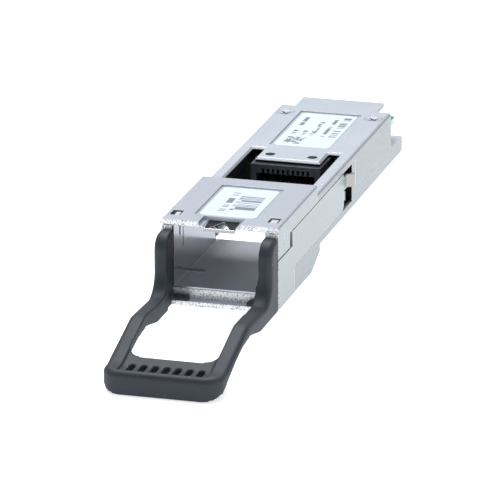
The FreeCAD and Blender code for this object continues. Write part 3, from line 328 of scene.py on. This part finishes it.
pebble = add(tree, "ShaderNodeBump", {"Strength": 0.25, "Distance": 0.03 * MM, "Height": spark.outputs[0]})
tree.links.new(pebble.outputs[0], shader.inputs["Normal"])
finished.materials.clear()
finished.materials.append(plastic)
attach(handle, "puller")
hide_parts("pull_handle")

# ---------------------------------------------------------------- circuit board and its parts
# Glass-epoxy laminate under a green solder mask. Its routed edges show the pale cut glass, and the card edge
# has hard gold-plated pads over nickel.
board, tree, shader = material("glass_epoxy_board", Roughness=0.45, IOR=1.5)
place = add(tree, "ShaderNodeTexCoord").outputs["Object"]
facing = add(tree, "ShaderNodeSeparateXYZ", {0: add(tree, "ShaderNodeNewGeometry").outputs["Normal"]})
level = add(tree, "ShaderNodeMath", {0: facing.outputs["Z"]}, operation="ABSOLUTE")
tracks = add(tree, "ShaderNodeTexWave", {"Vector": place, "Scale": 1 / (2.4 * MM), "Distortion": 1.5,
                                         "Detail": 1.0}, bands_direction="X")
edges_of_tracks = add(tree, "ShaderNodeMapRange", {"Value": tracks.outputs["Fac"], "From Min": 0.45,
                                                   "From Max": 0.55})
mask = add(tree, "ShaderNodeMix", {"Factor": edges_of_tracks.outputs[0], "A": "1f6a56", "B": "2b7c66"},
           data_type="RGBA")
fibre = add(tree, "ShaderNodeTexNoise", {"Vector": place, "Scale": 1 / (0.2 * MM)})
cut_glass = add(tree, "ShaderNodeMix", {"Factor": fibre.outputs[0], "A": "a3c4bc", "B": "c2d8d2"},
                data_type="RGBA")
top = add(tree, "ShaderNodeMapRange", {"Value": level.outputs[0], "From Min": 0.4, "From Max": 0.6})
both = add(tree, "ShaderNodeMix", {"Factor": top.outputs[0], "A": cut_glass.outputs["Result"],
                                   "B": mask.outputs["Result"]}, data_type="RGBA")
tree.links.new(both.outputs["Result"], shader.inputs["Base Color"])
raised = add(tree, "ShaderNodeBump", {"Strength": 0.3, "Distance": 0.03 * MM,
                                      "Height": edges_of_tracks.outputs[0]})
tree.links.new(raised.outputs[0], shader.inputs["Normal"])
paint(board, "circuit_board")


def streaked_plate(name, dark_hex, light_hex):
    """A copper alloy with streaks along the module's length."""
    mat, tree, shader = material(name, Metallic=1.0)
    place = add(tree, "ShaderNodeTexCoord").outputs["Object"]
    wipe = add(tree, "ShaderNodeMapping", {"Vector": place, "Scale": (1.0, 0.1, 1.0)})
    streaks = add(tree, "ShaderNodeTexNoise", {"Vector": wipe.outputs[0], "Scale": 1 / (0.1 * MM)})
    tone = add(tree, "ShaderNodeMix", {"Factor": streaks.outputs[0], "A": dark_hex, "B": light_hex},
               data_type="RGBA")
    tree.links.new(tone.outputs["Result"], shader.inputs["Base Color"])
    polish = add(tree, "ShaderNodeMapRange", {"Value": streaks.outputs[0], "To Min": 0.18, "To Max": 0.34})
    tree.links.new(polish.outputs[0], shader.inputs["Roughness"])
    return mat


# The pads are hard gold over nickel. The socket's contacts, deep in its mouth, are gold toned as dark bronze
# for painted shade.
paint(streaked_plate("hard_gold_plate", "d9b25a", "efcf7e"), "card_pads_upper", "card_pads_lower")
paint(streaked_plate("gold_toned_painted_shade", "3a2d20", "5a4733"),
      "connector_contacts_upper", "connector_contacts_lower")


def moulded(name, dark_hex, light_hex, rough, grain_mm):
    """A filled moulding compound: a fine even grain and a slight change of tone."""
    mat, tree, shader = material(name, Roughness=rough, IOR=1.55)
    place = add(tree, "ShaderNodeTexCoord").outputs["Object"]
    grain = add(tree, "ShaderNodeTexNoise", {"Vector": place, "Scale": 1 / (grain_mm * MM), "Detail": 3.0})
    tone = add(tree, "ShaderNodeMix", {"Factor": grain.outputs[0], "A": dark_hex, "B": light_hex},
               data_type="RGBA")
    tree.links.new(tone.outputs["Result"], shader.inputs["Base Color"])
    skin = add(tree, "ShaderNodeBump", {"Strength": 0.3, "Distance": 0.02 * MM, "Height": grain.outputs[0]})
    tree.links.new(skin.outputs[0], shader.inputs["Normal"])
    return mat


paint(moulded("black_liquid_crystal_polymer", "202329", "30353d", 0.32, 0.2), "connector_housing")
paint(moulded("black_epoxy_compound", "17171a", "242428", 0.62, 0.08), "id_memory", "microcontroller")
paint(moulded("fired_ceramic", "8a6c4c", "a08262", 0.4, 0.1), "coupling_capacitors")

# ---------------------------------------------------------------- cover screws
# Two small steel screws with flush heads and a cross recess hold the lid on the tray at the rear corners.
# They are plated like the sheet metal, and lightened along the edges of the recess by its painted highlight.
screw_tree = bpy.data.node_groups.new("cross_recess_screw", "GeometryNodeTree")
for label, value in (("head_radius", 1.5 * MM), ("head_height", 0.3 * MM), ("shank_radius", 0.8 * MM),
                     ("length", 4 * MM), ("span", 14.5 * MM)):
    socket(screw_tree, label, "NodeSocketFloat", value)
socket(screw_tree, "middle", "NodeSocketVector", (0.0, 0.0, 0.0))
screw_tree.interface.new_socket("mesh", in_out="OUTPUT", socket_type="NodeSocketGeometry")
given = add(screw_tree, "NodeGroupInput").outputs
half_head = add(screw_tree, "ShaderNodeMath", {0: given["head_height"], 1: -0.5}, operation="MULTIPLY")
half_shank = add(screw_tree, "ShaderNodeMath", {0: given["length"], 1: -0.5}, operation="MULTIPLY")
down_head = add(screw_tree, "ShaderNodeCombineXYZ", {"Z": half_head.outputs[0]})
down_shank = add(screw_tree, "ShaderNodeCombineXYZ", {"Z": half_shank.outputs[0]})
disc = add(screw_tree, "GeometryNodeMeshCylinder", {"Vertices": 48, "Radius": given["head_radius"],
                                                    "Depth": given["head_height"]})
disc_down = add(screw_tree, "GeometryNodeTransform", {"Geometry": disc.outputs["Mesh"],
                                                      "Translation": down_head.outputs[0]})
stem = add(screw_tree, "GeometryNodeMeshCylinder", {"Vertices": 24, "Radius": given["shank_radius"],
                                                    "Depth": given["length"]})
stem_down = add(screw_tree, "GeometryNodeTransform", {"Geometry": stem.outputs["Mesh"],
                                                      "Translation": down_shank.outputs[0]})
solid = add(screw_tree, "GeometryNodeMeshBoolean", operation="UNION", solver="EXACT")
screw_tree.links.new(disc_down.outputs[0], solid.inputs["Mesh 2"])
screw_tree.links.new(stem_down.outputs[0], solid.inputs["Mesh 2"])
dish_radius, dish_depth = 6.4 * MM, 0.14 * MM
dish = add(screw_tree, "GeometryNodeMeshUVSphere", {"Segments": 48, "Rings": 32, "Radius": dish_radius})
dish_up = add(screw_tree, "GeometryNodeTransform", {"Geometry": dish.outputs["Mesh"],
                                                    "Translation": (0.0, 0.0, dish_radius - dish_depth)})
blade = add(screw_tree, "GeometryNodeMeshCube", {"Size": (1.9 * MM, 0.34 * MM, 1.4 * MM)})
cross = add(screw_tree, "GeometryNodeTransform", {"Geometry": blade.outputs["Mesh"],
                                                  "Rotation": (0.0, 0.0, math.pi / 2)})
recessed = add(screw_tree, "GeometryNodeMeshBoolean", {"Mesh 1": solid.outputs["Mesh"]},
               operation="DIFFERENCE", solver="EXACT")
for cutter in (dish_up, blade, cross):
    screw_tree.links.new(cutter.outputs[0], recessed.inputs["Mesh 2"])
apart = add(screw_tree, "ShaderNodeCombineXYZ", {"X": given["span"]})
half_back = add(screw_tree, "ShaderNodeMath", {0: given["span"], 1: -0.5}, operation="MULTIPLY")
start_x = add(screw_tree, "ShaderNodeCombineXYZ", {"X": half_back.outputs[0]})
start = add(screw_tree, "ShaderNodeVectorMath", {0: given["middle"], 1: start_x.outputs[0]}, operation="ADD")
pair = add(screw_tree, "GeometryNodeMeshLine", {"Count": 2, "Start Location": start.outputs[0],
                                                "Offset": apart.outputs[0]})
placed = add(screw_tree, "GeometryNodeInstanceOnPoints", {"Points": pair.outputs[0],
                                                          "Instance": recessed.outputs["Mesh"],
                                                          "Rotation": (0.0, 0.0, math.radians(45))})
real = add(screw_tree, "GeometryNodeRealizeInstances", {"Geometry": placed.outputs[0]})
clad = add(screw_tree, "GeometryNodeSetMaterial", {"Geometry": real.outputs[0], "Material": sheet_metal})
add(screw_tree, "NodeGroupOutput", {"mesh": clad.outputs[0]})
low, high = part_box("cover_screws")
head_radius = 1.51 * MM
screws = grow("cross_recess_screws", screw_tree, sheet_metal,
              span=high.x - low.x - 2 * head_radius, head_radius=head_radius, length=high.z - low.z,
              middle=(0.0, (low.y + high.y) / 2, high.z))
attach(screws, "root")
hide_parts("cover_screws")

# ---------------------------------------------------------------- labels
# Two matt polyester labels with a printed block of plain bars and rows of dashes in place of any wording.
# White film with a cool cast, printed in grey-black ink.


def label_print(name, blocks):
    """White film with printed blocks. Each block is a box in millimetres and a kind of marking."""
    mat, tree, shader = material(name, Roughness=0.38, IOR=1.46)
    place = add(tree, "ShaderNodeTexCoord").outputs["Object"]
    paper = add(tree, "ShaderNodeTexNoise", {"Vector": place, "Scale": 1 / (0.3 * MM)})
    film = add(tree, "ShaderNodeMix", {"Factor": paper.outputs[0], "A": "d3e0ea", "B": "dfeaf2"},
               data_type="RGBA")
    for x0, x1, y0, y1, kind, step in blocks:
        across = 1 / (step * MM) if kind == "dots" else 0.0
        cells = add(tree, "ShaderNodeVectorMath", {0: place, 1: (across, 1 / (step * MM), 0.0)},
                    operation="MULTIPLY")
        whole = add(tree, "ShaderNodeVectorMath", {0: cells.outputs[0]}, operation="FLOOR")
        chance = add(tree, "ShaderNodeTexWhiteNoise", {"Vector": whole.outputs[0]})
        filled = add(tree, "ShaderNodeMath", {0: chance.outputs["Value"], 1: {"bars": 0.45, "dots": 0.5,
                                                                              "dashes": 0.35}[kind]},
                     operation="GREATER_THAN")
        shown = add(tree, "ShaderNodeMath", {0: filled.outputs[0], 1: 0.8}, operation="MULTIPLY")
        printed = in_box(tree, place, ("X", x0, x1), ("Y", y0, y1))
        ink = add(tree, "ShaderNodeMath", {0: printed, 1: shown.outputs[0]}, operation="MULTIPLY")
        film = add(tree, "ShaderNodeMix",
                   {"Factor": ink.outputs[0], "A": film.outputs["Result"], "B": "4b545e"}, data_type="RGBA")
    tree.links.new(film.outputs["Result"], shader.inputs["Base Color"])
    return mat


low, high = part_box("head_label")
y = low.y / MM
paint(label_print("printed_film_small", [
    (-0.6, 3.2, y + 3.2, y + 10.2, "bars", 0.28),
    (-2.1, -1.1, y + 2.4, y + 12.0, "dashes", 0.34)]), "head_label")
low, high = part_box("rear_label")
y = low.y / MM
paint(label_print("printed_film_large", [
    (-3.4, -0.4, y + 1.3, y + 4.9, "dots", 0.36),
    (-3.4, -2.7, y + 6.2, y + 15.6, "dashes", 0.42),
    (-1.8, -1.1, y + 6.2, y + 11.0, "dashes", 0.42),
    (-0.4, 0.3, y + 6.2, y + 13.6, "dashes", 0.42),
    (1.5, 2.1, y + 6.0, y + 16.2, "dashes", 0.42),
    (2.75, 3.95, y + 5.6, y + 16.6, "bars", 0.26)]), "rear_label")

# ---------------------------------------------------------------- studio
# A light table: a pale sheet that glows faintly from below, a large soft box overhead and a weaker one at
# the side, in a bright room.
floor_mesh = bpy.data.meshes.new("light_table")
reach = 3.0
floor_mesh.from_pydata([(-reach, -reach, 0), (reach, -reach, 0), (reach, reach, 0), (-reach, reach, 0)], [],
                       [(0, 1, 2, 3)])
sheet, tree, shader = material("opal_acrylic", Roughness=0.6)
shader.inputs["Base Color"].default_value = linear("f4f5f6")
shader.inputs["Emission Color"].default_value = linear("ffffff")
shader.inputs["Emission Strength"].default_value = 0.6
link_mesh("light_table", floor_mesh, sheet)


def soft_box(name, place, aim, size, watts):
    lamp = bpy.data.lights.new(name, "AREA")
    lamp.shape, lamp.size, lamp.energy = "DISK", size, watts
    made = bpy.data.objects.new(name, lamp)
    bpy.context.scene.collection.objects.link(made)
    made.location = place
    made.rotation_euler = (Vector(aim) - Vector(place)).to_track_quat("-Z", "Y").to_euler()


soft_box("overhead_box", (-0.10, 0.25, 0.70), (0, 0, 0), 0.6, 5.5)
soft_box("side_box", (0.65, -0.25, 0.35), (0, 0, 0), 0.4, 0.5)
room = bpy.data.worlds.new("bright_room")
room.use_nodes = True
room.node_tree.nodes["Background"].inputs["Color"].default_value = linear("f3f6fa")
room.node_tree.nodes["Background"].inputs["Strength"].default_value = 0.56
bpy.context.scene.world = room
bpy.context.scene.view_settings.view_transform = "Standard"

# The camera looks along the module from above its handle, through a long lens.
azimuth, elevation, roll = math.radians(16.1115), math.radians(18.2843), math.radians(0.1999)
distance, lens_mm = 0.85404, 385.894
aim = Vector((-10.6146, 32.1924, -5.0581)) * MM
right = Vector((math.cos(azimuth), math.sin(azimuth), 0))
back = Vector((math.sin(azimuth) * math.cos(elevation), -math.cos(azimuth) * math.cos(elevation),
               math.sin(elevation)))
up = back.cross(right)
right, up = (right * math.cos(roll) - up * math.sin(roll), right * math.sin(roll) + up * math.cos(roll))
camera = bpy.data.objects.new("camera", bpy.data.cameras.new("camera"))
bpy.context.scene.collection.objects.link(camera)
camera.data.lens, camera.data.sensor_width = lens_mm, 36.0
camera.data.clip_start, camera.data.clip_end = 0.01, 20.0
camera.matrix_world = Matrix((right, up, back)).transposed().to_4x4()
camera.location = aim + back * distance
bpy.context.scene.camera = camera
